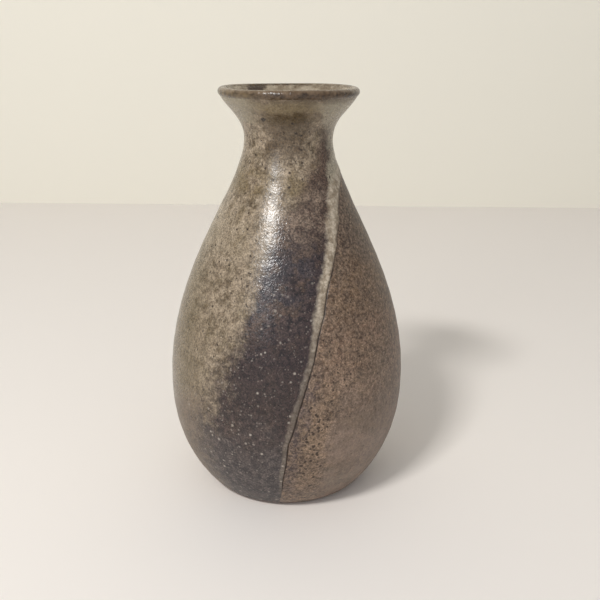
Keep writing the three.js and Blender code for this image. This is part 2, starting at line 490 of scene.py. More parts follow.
# %% Cut the skin along a line
def cut_skin(line_at, keep_side):
    """Keeps the faces on one side of a line, given as (height, across_dip) points."""
    outer, inner = outer_grid.copy(), inner_grid.copy()
    side = across_dip(outer) - np.interp(outer[:, 2], *np.array(line_at).T)
    side[outer[:, 2] > ALL_ASH_ABOVE] = FAR_ON_ASH_SIDE
    edges = {tuple(sorted(e)) for f in skin_faces for e in zip(f, f[1:] + f[:1])}
    crossing = [e for e in edges if side[e[0]] * side[e[1]] < 0]
    crossing.sort(key=lambda e: (min(abs(side[e[0]]), abs(side[e[1]])), e))
    moved = set()
    for a, b in crossing:
        if a in moved or b in moved:
            continue
        near, far = (a, b) if abs(side[a]) < abs(side[b]) else (b, a)
        share = side[near] / (side[near] - side[far])
        outer[near] += share * (outer[far] - outer[near])
        inner[near] += share * (inner[far] - inner[near])
        moved.add(near)
    side[list(moved)] = 0
    kept = []
    for face in skin_faces:
        marks = [keep_side * side[i] for i in face]
        if min(marks) >= 0:
            kept.append(face)
        elif max(marks) > 0:
            first = marks.index(max(marks))
            kept.append(tuple(face[(first + k) % 4] for k in (-1, 0, 1)))
    return outer, inner, kept


def coat(name, node, line_at, keep_side):
    """A glaze coat on one side of a line: -1 keeps the ash side and 1 the iron side."""
    outer, inner, faces = cut_skin(line_at, keep_side)
    across = across_dip(outer)
    points, faces, kept = shell_of(outer, inner, faces)
    across = np.concatenate([across, across])[kept]
    piece = new_piece(name, by_hand(points), faces, across_dip=across)
    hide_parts(node)
    return piece


ASH_CUT = [(0, -0.55), (HEIGHT, -0.55)]
IRON_CUT = [(0, 0.12), (86, 0.12), (97, -0.35), (HEIGHT, -0.35)]
ash_coat = coat("ash_coat", "ash_glaze_coat", ASH_CUT, -1)
iron_coat = coat("iron_coat", "iron_glaze_coat", IRON_CUT, 1)

# %% [markdown]
# ## The overlap bead
#
# Where the second coat lapped the first, the glaze is twice as thick and stands up in a soft
# bead. Its ash side slopes gently, and its iron side ends in a fine open crack. It is swept
# by hand along the traced line, because a curve with a bevel can't change its section.

# %% Trace the line round the pot
TRACE_HEIGHT, TRACE_REACH = 55, 110.0
HALVINGS = 48
BEAD_STEP, ON_SKIN_WITHIN = 0.55, 0.05
sweep = np.radians(np.linspace(-60, 240, 1601))
reach_low, reach_high = np.zeros_like(sweep), np.full_like(sweep, TRACE_REACH)
for _ in range(HALVINGS):
    reach = (reach_low + reach_high) / 2
    y, z = -np.cos(sweep) * reach, TRACE_HEIGHT + np.sin(sweep) * reach
    outside = np.hypot(dip_x(y, z), y) > outside_radius(z)
    outside |= z < GLAZE_LINE
    reach_high = np.where(outside, reach, reach_high)
    reach_low = np.where(outside, reach_low, reach)
y, z = -np.cos(sweep) * reach, TRACE_HEIGHT + np.sin(sweep) * reach
trace = np.stack([dip_x(y, z), y, z], axis=1)
off_skin = np.abs(np.hypot(trace[:, 0], trace[:, 1]) - outside_radius(z))
trace = trace[off_skin < ON_SKIN_WITHIN]
run = np.concatenate([[0], np.cumsum(np.linalg.norm(np.diff(trace, axis=0), axis=1))])
stops = np.linspace(0, run[-1], round(run[-1] / BEAD_STEP))
trace = np.stack([np.interp(stops, run, trace[:, k]) for k in range(3)], axis=1)
print(f"the dip line is {run[-1]:.0f} mm long and tops out at z {trace[:, 2].max():.1f} mm")

# %% The bead's section, width and height
BEAD_WIDTH = [
    (0, 0.5), (8, 0.7), (14, 1.3), (20, 1.9), (27, 1.7), (36, 2.2), (44, 2.4), (56, 2.3),
    (66, 2.4), (74, 3.2), (83, 3.8), (92, 3.8), (99, 4.6), (106, 5.5), (112, 5.9), (119, 5.0),
]
BEAD_HEIGHT = [
    (0, 0.02), (10, 0.08), (20, 0.2), (40, 0.3), (70, 0.42), (100, 0.46), (110, 0.4), (119, 0.2),
]
SECTION = [
    (-1.45, -0.30), (-1.25, -0.06), (-1.0, 0.14), (-0.8, 0.42), (-0.6, 0.74), (-0.4, 0.94),
    (-0.22, 1.0), (-0.1, 0.86), (-0.03, 0.4), (0.0, -0.3),
]
UNDERSIDE, SINK = (-0.3, -0.9), 0.35
SWELL_LENGTH = 6.5


def on_skin(points):
    """Slides points level on to the outside of the pot, and gives the outward normals."""
    turn = np.arctan2(points[:, 0], -points[:, 1])
    radius = outside_radius(points[:, 2])
    lean = outside_lean(np.clip(points[:, 2], GLAZE_LINE + 0.3, HEIGHT - 5))
    level = 1 / np.hypot(1, lean)
    placed = np.stack([radius * np.sin(turn), -radius * np.cos(turn), points[:, 2]], axis=1)
    out = np.stack([np.sin(turn) * level, -np.cos(turn) * level, -lean * level], axis=1)
    return placed, out


def swell(stations, seed):
    """Slow, seeded unevenness along the bead, about one in size."""
    return np.array([noise.noise(Vector((s / SWELL_LENGTH, seed, 0))) for s in stations])


# %% Direction and size at every station
way = np.gradient(trace, axis=0)
way /= np.linalg.norm(way, axis=1)[:, None]
base, out = on_skin(trace)
aside = np.cross(way, out)
aside *= np.sign(aside[:, 0] - DIP_SLOPE * aside[:, 2])[:, None]
width = np.interp(base[:, 2], *np.array(BEAD_WIDTH).T)
width *= 1 + 0.25 * swell(stops, 2.0) + 0.1 * swell(stops * 2.6, 5.0)
height = np.interp(base[:, 2], *np.array(BEAD_HEIGHT).T)
height *= 1 + 0.3 * swell(stops, 9.0) + 0.14 * swell(stops * 2.7, 6.0)
lap = 0.5 * np.clip(swell(stops * 1.3, 12.0), 0, 1) * np.clip((base[:, 2] - 92) / 8, 0, 1)
lap += 0.45 * np.clip((15 - base[:, 2]) / 8, 0, 1)
print(f"bead {width.min():.1f} to {width.max():.1f} mm wide, up to {height.max():.2f} mm high")

# %% Sweep the section along the line
rows, acrosses = [], []
for offset, rise in SECTION:
    lateral = offset * width + lap * np.clip(offset + 1, 0, 1)
    placed, up = on_skin(base + aside * lateral[:, None])
    level = np.where(rise > 0, rise * height, rise)
    rows.append(placed + up * level[:, None])
    acrosses.append(lateral)
for offset in UNDERSIDE:
    placed, up = on_skin(base + aside * (offset * width)[:, None])
    rows.append(placed - up * SINK)
    acrosses.append(offset * width)
sections, stations = len(rows), len(base)
bead_points = np.stack(rows).reshape(-1, 3)
bead_faces = []
for i in range(sections):
    here, there = i * stations, (i + 1) % sections * stations
    for j in range(stations - 1):
        bead_faces.append((here + j, here + j + 1, there + j + 1, there + j))
bead_faces.append(tuple(i * stations for i in range(sections)))
bead_faces.append(tuple(i * stations + stations - 1 for i in reversed(range(sections))))
crests = np.repeat([offset for offset, _ in SECTION] + list(UNDERSIDE), stations)
bead = new_piece(
    "overlap_bead", by_hand(bead_points), bead_faces,
    across_dip=np.concatenate(acrosses), crest=crests,
)
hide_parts("overlap_bead")

# %% [markdown]
# ## The lip
#
# The lip is a half-round roll where the glaze ran thin. A bevelled circle would give a whole
# round ring, and a torus would cut through the wall. The band only has to hug the roll and
# end under the glazes, so its section is listed point by point and turned. A layer in the
# mesh says how far round the roll each point lies, for the colour later.

# %% Lip band
LIP_COLUMNS, LIP_POINTS = 320, 15
LIP_OVERLAP, LIP_TAPER = 1.5, 0.7
LIP_FROM_DIP = -20.0
lip_middle, lip_way, lip_out = (np.array(v) for v in (LIP_MIDDLE, FLARE_WAY, FLARE_OUT))
lip_angles = np.linspace(FLARE - math.pi / 2, FLARE + math.pi / 2, LIP_POINTS)
half_round = np.stack([np.cos(lip_angles), np.sin(lip_angles)], axis=1)
outside_end, inside_end = np.array(LIP_OUTSIDE), np.array(LIP_INSIDE)
band_section = np.concatenate([
    [outside_end - lip_way * LIP_OVERLAP - lip_out * 0.45],
    [outside_end - lip_way * LIP_TAPER - lip_out * 0.05],
    lip_middle + LIP_ROLL * half_round,
    [inside_end - lip_way * LIP_TAPER + lip_out * 0.05],
    [inside_end - lip_way * LIP_OVERLAP + lip_out * 0.45],
    [lip_middle - lip_way * 1.2 - lip_out * 0.35],
    [lip_middle + lip_way * 0.5],
    [lip_middle - lip_way * 1.2 + lip_out * 0.35],
])
band_points = turned(band_section, LIP_COLUMNS).reshape(-1, 3)
band_faces = rows_to_faces(len(band_section), LIP_COLUMNS, loops=True)
on_roll = np.linspace(0, 1, LIP_POINTS)
band_roll = np.concatenate([[-1.5, -0.55], on_roll, [1.55, 2.5, 2.5, 0.5, -1.5]])
lip_band = new_piece(
    "lip_band", by_hand(band_points), band_faces,
    across_dip=np.full(len(band_points), LIP_FROM_DIP), roll=np.repeat(band_roll, LIP_COLUMNS),
)
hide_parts("lip_band")

# %% [markdown]
# ## The liner
#
# The liner is the glaze that was poured in and out again, and it shows the shallow rings that
# the fingers left inside. A Solidify modifier would copy those rings to the hidden face as
# well. Here only the face in view has them, and the back stays flat against the clay.

# %% Liner
LINER_COLUMNS, LINER_STEP = 192, 1.1
RING_PITCH, RING_DEPTH = 6.5, 0.22
NEAR_AXIS = 0.05
liner_line, wall_side = evenly(INSIDE, LINER_STEP)
rings = RING_DEPTH * np.sin(2 * np.pi * liner_line[:, 1] / RING_PITCH)
rings *= np.clip((HEIGHT - 12 - liner_line[:, 1]) / 20, 0, 1)
rings *= np.clip(liner_line[:, 0] / 12, 0, 1)
liner_seen = liner_line - wall_side * rings[:, None]
liner_back = liner_line + wall_side * GLAZE
liner_section = np.concatenate([liner_back, liner_seen[::-1]])
liner_section[:, 0] = np.maximum(liner_section[:, 0], NEAR_AXIS)
liner_points = turned(liner_section, LINER_COLUMNS).reshape(-1, 3)
liner_faces = rows_to_faces(len(liner_section), LINER_COLUMNS)
liner_points, liner_faces = close_ends(by_hand(liner_points), liner_faces, LINER_COLUMNS)
liner = new_piece("liner", liner_points, liner_faces)
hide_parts("liner_glaze")

# %% [markdown]
# ## The clay
#
# The clay carries every glaze and shows only underneath, where the foot ring was trimmed and
# the base was left bare, with fine marks of the trimming tool. A Screw modifier could turn a
# drawn line in the same way. The line is joined here from the outline itself, set in by a
# little more than the glaze, so the clay can't come through.

# %% Clay, from the middle of the base round to the floor inside
CLAY_COLUMNS, CLAY_STEP = 192, 2.4
CLAY_UNDER_GLAZE = GLAZE * 1.1
BASE_RADIUS, RECESS = 19.8, 1.8
TRIM_PITCH, TRIM_DEPTH = 2.3, 0.07
base_radius = np.linspace(NEAR_AXIS, BASE_RADIUS, 36)
trim = TRIM_DEPTH * np.sin(2 * np.pi * base_radius / TRIM_PITCH)
base_line = np.stack([base_radius, RECESS + trim], axis=1)
foot_line = np.array([
    (20.4, 1.75), (20.9, 1.55), (21.3, 1.1), (21.6, 0.6), (22.0, 0.22), (22.6, 0.03), (23.4, 0),
    (25.5, 0), (27.8, 0), (28.5, 0.05), (29.0, 0.25), (29.4, 0.6), (29.75, 1.0), (30.1, 1.4),
])
clay_out, outwards = evenly(OUTSIDE, CLAY_STEP)
clay_out = (clay_out - outwards * CLAY_UNDER_GLAZE)[1:]
lip_core = lip_middle + (LIP_ROLL - CLAY_UNDER_GLAZE) * half_round
clay_in, wallwards = evenly(INSIDE, CLAY_STEP)
clay_in = (clay_in + wallwards * CLAY_UNDER_GLAZE)[::-1]
clay_section = np.concatenate([base_line, foot_line, clay_out, lip_core[1:-1], clay_in])
clay_section[:, 0] = np.maximum(clay_section[:, 0], NEAR_AXIS)
clay_points = turned(clay_section, CLAY_COLUMNS).reshape(-1, 3)
clay_faces = rows_to_faces(len(clay_section), CLAY_COLUMNS)
clay_points, clay_faces = close_ends(by_hand(clay_points), clay_faces, CLAY_COLUMNS)
clay = new_piece("clay_body", clay_points, clay_faces)
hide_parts("clay_body")

# %% [markdown]
# ## Mixing glazes from nodes
#
# Every finish below is worked out from the point's own place on the pot, in millimetres, so a
# speck is the size of a real speck and nothing slides when the camera moves. An image texture
# would need unwrapping. The recipe class only gives short names to the nodes that are used
# again and again.

# %% Recipe helper
def tone(red, green, blue_sheen):
    """An everyday 0 to 255 colour as the linear colour that shaders work in."""
    parts = [c / 255 for c in (red, green, blue_sheen)]
    linear = [p / 12.92 if p <= 0.04045 else ((p + 0.055) / 1.055) ** 2.4 for p in parts]
    return (*linear, 1.0)


SPOT_FLATNESS = 1.4


class Recipe:
    """A glaze material under construction."""

    def __init__(self, name, ior):
        self.material = bpy.data.materials.new(name)
        self.material.use_nodes = True
        self.nodes = self.material.node_tree.nodes
        self.links = self.material.node_tree.links
        self.shader = self.nodes["Principled BSDF"]
        self.shader.inputs["IOR"].default_value = ior
        place = self.nodes.new("ShaderNodeTexCoord").outputs["Object"]
        self.place = self.vector("SCALE", place, scale=1 / MM)
        split = self.nodes.new("ShaderNodeSeparateXYZ")
        self.links.new(self.place, split.inputs[0])
        self.x, self.y, self.z = split.outputs

    def feed(self, socket, value):
        if isinstance(value, bpy.types.NodeSocket):
            self.links.new(value, socket)
        else:
            socket.default_value = value

    def vector(self, operation, a, b=None, scale=None):
        node = self.nodes.new("ShaderNodeVectorMath")
        node.operation = operation
        self.feed(node.inputs[0], a)
        if b is not None:
            self.feed(node.inputs[1], b)
        if scale is not None:
            self.feed(node.inputs["Scale"], scale)
        return node.outputs["Value" if operation == "LENGTH" else "Vector"]

    def math(self, operation, *values, clamp=False):
        node = self.nodes.new("ShaderNodeMath")
        node.operation = operation
        node.use_clamp = clamp
        for socket, value in zip(node.inputs, values):
            self.feed(socket, value)
        return node.outputs[0]

    def add(self, a, b):
        return self.math("ADD", a, b)

    def times(self, a, b):
        return self.math("MULTIPLY", a, b)

    def layer(self, name):
        node = self.nodes.new("ShaderNodeAttribute")
        node.attribute_name = name
        return node.outputs["Fac"]

    def ease(self, value, low, high):
        """0 below low, 1 above high and smooth between. Turned round if low is above high."""
        node = self.nodes.new("ShaderNodeMapRange")
        node.interpolation_type = "SMOOTHSTEP"
        flip = not isinstance(low, bpy.types.NodeSocket) and low > high
        self.feed(node.inputs["Value"], value)
        self.feed(node.inputs["From Min"], high if flip else low)
        self.feed(node.inputs["From Max"], low if flip else high)
        node.inputs["To Min"].default_value = 1.0 if flip else 0.0
        node.inputs["To Max"].default_value = 0.0 if flip else 1.0
        return node.outputs["Result"]

    def window(self, value, start, full, end, gone):
        """1 between full and end, easing to 0 at start and at gone."""
        return self.times(self.ease(value, start, full), self.ease(value, gone, end))

    def by_height(self, points):
        """A value that follows height, given as (height, value) points in millimetres."""
        low, high = min(v for _, v in points), max(v for _, v in points)
        span = max(high - low, 1e-6)
        node = self.nodes.new("ShaderNodeFloatCurve")
        curve = node.mapping.curves[0]
        while len(curve.points) < len(points):
            curve.points.new(0.5, 0.5)
        for point, (height, value) in zip(curve.points, sorted(points)):
            point.location = (height / HEIGHT, (value - low) / span)
        node.mapping.update()
        self.feed(node.inputs["Value"], self.times(self.z, 1 / HEIGHT))
        return self.math("MULTIPLY_ADD", node.outputs[0], span, low)

    def cloud(self, size, detail=2.0, shift=0.0, roughness=0.5, stretch=(1, 1, 1)):
        """Soft noise from 0 to 1 with features of about this size in millimetres."""
        node = self.nodes.new("ShaderNodeTexNoise")
        scaled = self.vector("MULTIPLY", self.place, [1 / (size * s) for s in stretch])
        self.feed(node.inputs["Vector"], self.vector("ADD", scaled, (shift, shift * 0.7, -shift)))
        node.inputs["Scale"].default_value = 1.0
        node.inputs["Detail"].default_value = detail
        node.inputs["Roughness"].default_value = roughness
        return node.outputs["Fac"]

    def swing(self, size, amount, detail=2.0, shift=0.0):
        """Noise between about -amount and +amount."""
        return self.math("MULTIPLY_ADD", self.cloud(size, detail, shift), 4 * amount, -2 * amount)

    def dots(self, spacing, radius, share, shift=0.0, softness=0.12):
        """Round specks: how far apart they lie, how big they are and how many cells have one."""
        node = self.nodes.new("ShaderNodeTexVoronoi")
        scaled = self.vector("SCALE", self.place, scale=1 / spacing)
        self.feed(node.inputs["Vector"], self.vector("ADD", scaled, (shift, -shift, shift * 0.6)))
        node.inputs["Scale"].default_value = 1.0
        chance = self.nodes.new("ShaderNodeSeparateColor")
        self.links.new(node.outputs["Color"], chance.inputs[0])
        ragged = self.swing(0.9, 0.08, 1, shift)
        reach = self.add(self.times(radius, self.add(chance.outputs[1], 0.5)), ragged)
        inside = self.math("MULTIPLY_ADD", node.outputs["Distance"], -spacing, reach)
        mask = self.math("MULTIPLY", inside, 1 / softness, clamp=True)
        return self.times(mask, self.math("LESS_THAN", chance.outputs[0], share))

    def grain(self, colour, noise_value, low, high):
        """Darkens or lightens a colour by a gain that follows the noise."""
        gain = self.between(self.ease(noise_value, 0.32, 0.68), low, high)
        return self.vector("SCALE", colour, scale=gain)

    def mix(self, factor, a, b):
        """A colour between a and b, each from a node or as an everyday colour."""
        node = self.nodes.new("ShaderNodeMix")
        node.data_type = "RGBA"
        self.feed(node.inputs[0], factor)
        for socket, colour in zip(node.inputs[6:8], (a, b)):
            self.feed(socket, tone(*colour) if isinstance(colour, tuple) else colour)
        return node.outputs[2]

    def stain(self, colour, where, amount, rgb):
        """Takes a colour part of the way to another where a mask says so."""
        return self.mix(self.times(where, amount), colour, rgb)

    def between(self, factor, a, b):
        """A number between a and b."""
        node = self.nodes.new("ShaderNodeMix")
        self.feed(node.inputs[0], factor)
        self.feed(node.inputs[2], a)
        self.feed(node.inputs[3], b)
        return node.outputs[0]

    def spot(self, degrees, height, radius):
        """A mark at an angle from the front and a height, a little wider than tall."""
        turn, reach = math.radians(degrees), float(outside_radius(height))
        here = (reach * math.sin(turn), -reach * math.cos(turn), height)
        offset = self.vector("SUBTRACT", self.place, here)
        away = self.vector("LENGTH", self.vector("MULTIPLY", offset, (1, 1, SPOT_FLATNESS)))
        away = self.add(away, self.swing(1.2, 0.25 * radius))
        return self.ease(away, radius * 1.1, radius * 0.55)

    def finish(self, colour, roughness, height):
        """Connects the colour, the roughness and the surface height in millimetres."""
        self.links.new(colour, self.shader.inputs["Base Color"])
        self.links.new(roughness, self.shader.inputs["Roughness"])
        bump = self.nodes.new("ShaderNodeBump")
        bump.inputs["Distance"].default_value = MM
        self.links.new(height, bump.inputs["Height"])
        self.links.new(bump.outputs[0], self.shader.inputs["Normal"])
        print(self.material.name, "has", len(self.nodes), "nodes")
        return self.material


# %% [markdown]
# ## Ash glaze
#
# Wood ash and feldspar melt to a grey-olive glass, thick and mottled, with pinholes where
# bubbles broke. Where it ran over the iron-rich slip it turned purple-black, in a band that
# follows the dip line and spreads out towards the foot. The colour is laid down in the order
# the kiln made it: pale glass, dark flow, then the specks. Each of these is a small function,
# because the bead and the lip need the same glaze again.

# %% Ash glaze: where it is dark
DARK_EDGE = [
    (8, -27), (16, -30.5), (24, -32.5), (32, -32), (40, -27.8), (48, -25.6), (56, -23),
    (64, -18.8), (72, -14.6), (79, -11.2), (86, -10), (92, -8.8), (97, -7.4), (104, -4.8),
    (109, -2.4), (113, 3.8), (120, 6.8), (128, 8.8), (136, 11.4), (146, 14.4),
]
DARK_BLUR = [
    (8, 14), (40, 15), (60, 12), (72, 7), (84, 5), (104, 5), (113, 10), (118, 6), (146, 3.6),
]
STREAK_END = [(104, 40), (109, 24), (113, 16.5), (117, 14.2), (124, 13.8), (136, 14.6), (146, 15)]


def dark_flow(r):
    """Where the glaze is dark, and x with the waver that its borders share."""
    ragged = r.add(r.swing(12, 2.6), r.add(r.swing(4.5, 1.7, 2, 7.0), r.swing(1.8, 1.1, 3, 5.0)))
    calm = r.between(r.ease(r.z, 66, 106), 1.0, 0.6)
    wavy_x = r.add(r.x, r.times(ragged, calm))
    from_edge = r.math("SUBTRACT", wavy_x, r.by_height(DARK_EDGE))
    flow = r.math("DIVIDE", from_edge, r.by_height(DARK_BLUR))
    flow = r.add(flow, r.times(r.swing(2.3, 0.26, 4, 25.0), r.ease(r.z, 86, 62)))
    dark = r.ease(flow, -0.55, 0.55)
    past_streak = r.math("SUBTRACT", wavy_x, r.by_height(STREAK_END))
    dark = r.times(dark, r.ease(past_streak, 1.6, -1.4))
    return r.times(dark, r.ease(r.z, 142, 130)), wavy_x


# %% Ash glaze: pale glass
def pale_glass(r, low_left):
    """The mottled grey-olive of the shoulder and the left side, with painted lamp light by the
    highlight.
    """
    mottle = r.ease(r.cloud(1.5, 4, 1.0, 0.65, (1, 1, 1.25)), 0.34, 0.66)
    drift = r.ease(r.cloud(13, 3, 2.0), 0.38, 0.62)
    patch = r.ease(r.cloud(4.6, 3, 12.0), 0.38, 0.62)
    smudge = r.ease(r.cloud(2.8, 4, 21.0, 0.6), 0.44, 0.66)
    pale = r.mix(mottle, (86, 72, 53), (163, 147, 126))
    pale = r.stain(pale, drift, 0.5, (108, 95, 73))
    pale = r.stain(pale, patch, 0.62, (160, 143, 122))
    upper = r.ease(r.z, 85, 105)
    pale = r.stain(pale, smudge, r.between(upper, 0.55, 0.7), (86, 71, 53))
    fleck = r.ease(r.cloud(2.1, 3, 27.0, 0.6), 0.52, 0.7)
    pale = r.stain(pale, fleck, r.between(upper, 0.15, 0.45), (178, 162, 140))
    # A lighter patch on the lit shoulder beside the highlight: painted lamp light.
    lamp_glow_x = r.window(r.add(r.x, r.swing(6, 3)), -32, -25, -16, -11)
    lamp_glow = r.times(r.window(r.z, 92, 98, 106, 112), lamp_glow_x)
    pale = r.stain(pale, lamp_glow, 0.35, (170, 154, 131))
    runs = r.ease(r.cloud(2.2, 3, 33.0, 0.5, (1, 1, 3.2)), 0.48, 0.66)
    runs = r.times(runs, r.ease(r.x, -8, -15))
    runs = r.times(runs, r.window(r.z, 92, 104, 126, 136))
    pale = r.stain(pale, runs, 0.45, (96, 80, 53))
    left_side = r.ease(r.x, -22, -40)
    pale = r.stain(pale, left_side, 0.65, (98, 84, 56))
    return r.stain(pale, low_left, 0.5, (100, 82, 71))


# %% Ash glaze: bands round the neck
def neck_bands(r, pale, wavy_x):
    """Gold, olive and celadon over the pale glass, up to the stain under the lip."""
    band_z = r.add(r.z, r.add(r.swing(9, 1.2), r.swing(1.8, 0.7, 2, 3.0)))
    olive = r.times(r.window(band_z, 124, 132, 142, 144.2), r.ease(r.y, 4, -4))
    olive = r.times(olive, r.window(r.add(r.x, r.swing(6, 3)), -11, -4, 5, 10))
    olive = r.times(olive, r.ease(r.cloud(3.4, 3, 9.0), 0.12, 0.42))
    pale = r.stain(pale, olive, 0.74, (72, 56, 37))
    stripe = r.times(r.window(band_z, 137.6, 140, 141.4, 143.6), r.window(r.x, -12, -6, 8, 13))
    pale = r.stain(pale, stripe, 0.5, (80, 66, 40))
    neck_gold = r.window(band_z, 112, 117, 121, 127)
    neck_gold = r.times(neck_gold, r.ease(r.cloud(5, 3, 14.0), 0.34, 0.56))
    pale = r.stain(pale, neck_gold, 0.6, (104, 88, 58))
    celadon = r.times(r.ease(r.z, 110, 118), r.ease(wavy_x, 12, 14.2))
    pale = r.stain(pale, celadon, 0.85, (154, 145, 126))
    collar = r.window(band_z, 142, 143.8, 145.6, 146.6)
    collar = r.math("MAXIMUM", collar, r.times(r.ease(band_z, 137, 139), r.ease(r.x, -8, -15)))
    collar_tone = r.mix(r.window(r.x, -17, -8, 7, 14), (149, 140, 120), (126, 112, 86))
    pale = r.mix(r.times(collar, 0.8), pale, collar_tone)
    drip_z = r.add(r.z, r.add(r.swing(2.6, 1.1, 2, 31.0), r.swing(0.9, 0.5, 2, 3.0)))
    lip_stain = r.times(r.ease(drip_z, 144.2, 147.0), r.ease(r.add(r.x, r.swing(5, 4)), -17, -2))
    return r.stain(pale, lip_stain, 0.6, (78, 62, 44))


# %% Ash glaze: dark glass
def dark_glass(r, low):
    """Purple-black on the belly, brown on the neck and grey at the foot, with a painted bluish
    sheen.
    """
    # Bluish-grey clouds at 70 to 110 mm, below the highlight, are painted sheen: the room's
    # reflection.
    blue_sheen = r.times(r.window(r.z, 70, 86, 98, 110), r.ease(r.cloud(8, 3, 3.0), 0.35, 0.6))
    stain = r.ease(r.cloud(4.5, 3, 4.0), 0.5, 0.62)
    deep = r.mix(r.ease(r.cloud(1.8, 3, 8.0), 0.36, 0.64), (33, 23, 23), (70, 56, 52))
    deep = r.stain(deep, blue_sheen, 0.4, (58, 56, 61))
    deep = r.stain(deep, stain, r.between(r.ease(r.z, 62, 80), 0.2, 0.5), (88, 70, 56))
    upper_cloud = r.times(r.cloud(1.4, 4, 15.0, 0.65), 0.5)
    upper_cloud = r.add(upper_cloud, r.times(r.cloud(5.5, 3, 16.0), 0.5))
    upper_brown = r.mix(r.ease(upper_cloud, 0.4, 0.6), (72, 57, 48), (122, 105, 90))
    upper_brown = r.stain(upper_brown, r.ease(r.z, 114, 124), 0.7, (80, 61, 48))
    deep = r.mix(r.times(r.ease(r.add(r.z, r.swing(6, 3)), 95, 107), 0.9), deep, upper_brown)
    heart = r.window(r.z, 38, 48, 66, 76)
    deep = r.stain(deep, heart, 0.45, (38, 25, 26))
    foot_grey = r.mix(r.ease(r.cloud(2.6, 3, 6.0), 0.35, 0.65), (53, 47, 47), (82, 73, 70))
    return r.mix(low, deep, foot_grey)


# %% Ash glaze: pinholes, dust and crystals
IRON_SPOTS = [
    (-27, 140, 1.15), (9.5, 135.5, 0.7), (15, 134.8, 0.6), (1, 118, 0.75), (4, 139, 0.6),
    (-31, 104, 0.5), (-24, 96, 0.55), (-22, 90.5, 0.5), (-38, 92, 0.5), (16, 130, 0.5),
]


def ash_specks(r, colour, dark, high, in_dark):
    """Adds the specks. The pits and the crystals are given too, for the surface height."""
    pits = r.times(r.dots(2.0, 0.36, 0.6, 1.0), r.between(dark, 1.0, 0.25))
    pits = r.times(pits, r.between(high, 1.0, 0.4))
    colour = r.stain(colour, pits, 0.85, (52, 39, 27))
    dust = r.times(r.dots(1.1, 0.24, 0.6, 3.0, 0.2), r.between(dark, 0.15, 0.5))
    colour = r.mix(dust, colour, (142, 130, 120))
    small = r.times(r.dots(1.5, 0.34, 0.7, 11.0, 0.3), in_dark)
    colour = r.stain(colour, small, 0.5, (150, 140, 130))
    crystals = r.times(r.dots(2.5, 0.5, 0.6, 6.0, 0.5), in_dark)
    colour = r.stain(colour, crystals, 0.9, (178, 168, 156))
    flakes = r.times(r.dots(6.5, 0.62, 0.4, 13.0, 0.5), in_dark)
    colour = r.stain(colour, flakes, 0.8, (172, 160, 146))
    neck_specks = r.times(r.window(r.z, 127, 130, 138, 141), r.window(r.x, -5, 0, 8, 12))
    neck_specks = r.times(neck_specks, r.dots(1.7, 0.42, 0.6, 17.0, 0.25))
    colour = r.stain(colour, neck_specks, 0.75, (50, 37, 25))
    for spot in IRON_SPOTS:
        colour = r.stain(colour, r.spot(*spot), 0.92, (38, 27, 18))
    return colour, pits, crystals


# %% Ash glaze: all together
def ash_field(r):
    """Colour, roughness and height of the ash glaze at any point of the outside."""
    dark, wavy_x = dark_flow(r)
    low = r.ease(r.add(r.z, r.swing(9, 7)), 46, 20)
    high = r.ease(r.z, 134, 143)
    low_left = r.times(r.ease(wavy_x, -24, -34), r.ease(r.add(r.z, r.swing(9, 6)), 52, 36))
    pale = neck_bands(r, pale_glass(r, low_left), wavy_x)
    colour = r.mix(dark, pale, dark_glass(r, low))

    beside_bead = r.window(r.layer("across_dip"), -8, -4, 4, 6)
    shadow = r.times(beside_bead, r.window(r.z, 28, 45, 98, 108))
    colour = r.stain(colour, shadow, 0.55, (46, 33, 32))
    grain_low = r.between(dark, r.between(high, 0.58, 0.8), 0.45)
    grain_high = r.between(dark, r.between(high, 1.36, 1.16), 1.6)
    colour = r.grain(colour, r.cloud(0.62, 2, 7.0, 0.7), grain_low, grain_high)
    in_dark = r.math("MAXIMUM", r.times(dark, r.ease(r.z, 108, 60)), r.times(low_left, 0.7))
    colour, pits, crystals = ash_specks(r, colour, dark, high, in_dark)

    smoothest, roughest = r.between(dark, 0.17, 0.16), r.between(dark, 0.35, 0.33)
    roughness = r.between(r.cloud(1.4, 2, 4.4), smoothest, roughest)
    roughness = r.add(roughness, r.times(low, 0.2))
    height = r.times(r.cloud(0.85, 2, 2.2, 0.6), r.between(dark, 0.08, 0.165))
    height = r.add(height, r.times(r.cloud(3.2, 2, 5.5), 0.08))
    height = r.add(height, r.times(pits, -0.08))
    height = r.add(height, r.times(crystals, 0.04))
    return colour, roughness, height


# %% Ash glaze: the coat
ash_recipe = Recipe("ash_glaze", 1.52)
ash_coat.data.materials.append(ash_recipe.finish(*ash_field(ash_recipe)))

# %% [markdown]
# ## Iron glaze
#
# The second glaze fired satin and tan, full of dark iron specks that broke through it. It is
# darker and purpler where it is thin near the neck, and grey and smooth low on the right,
# where it ran thick. A golden, densely speckled stretch lies along the dip line.

# %% Iron glaze: the ground colours
CRACK_BROWN = (42, 30, 25)


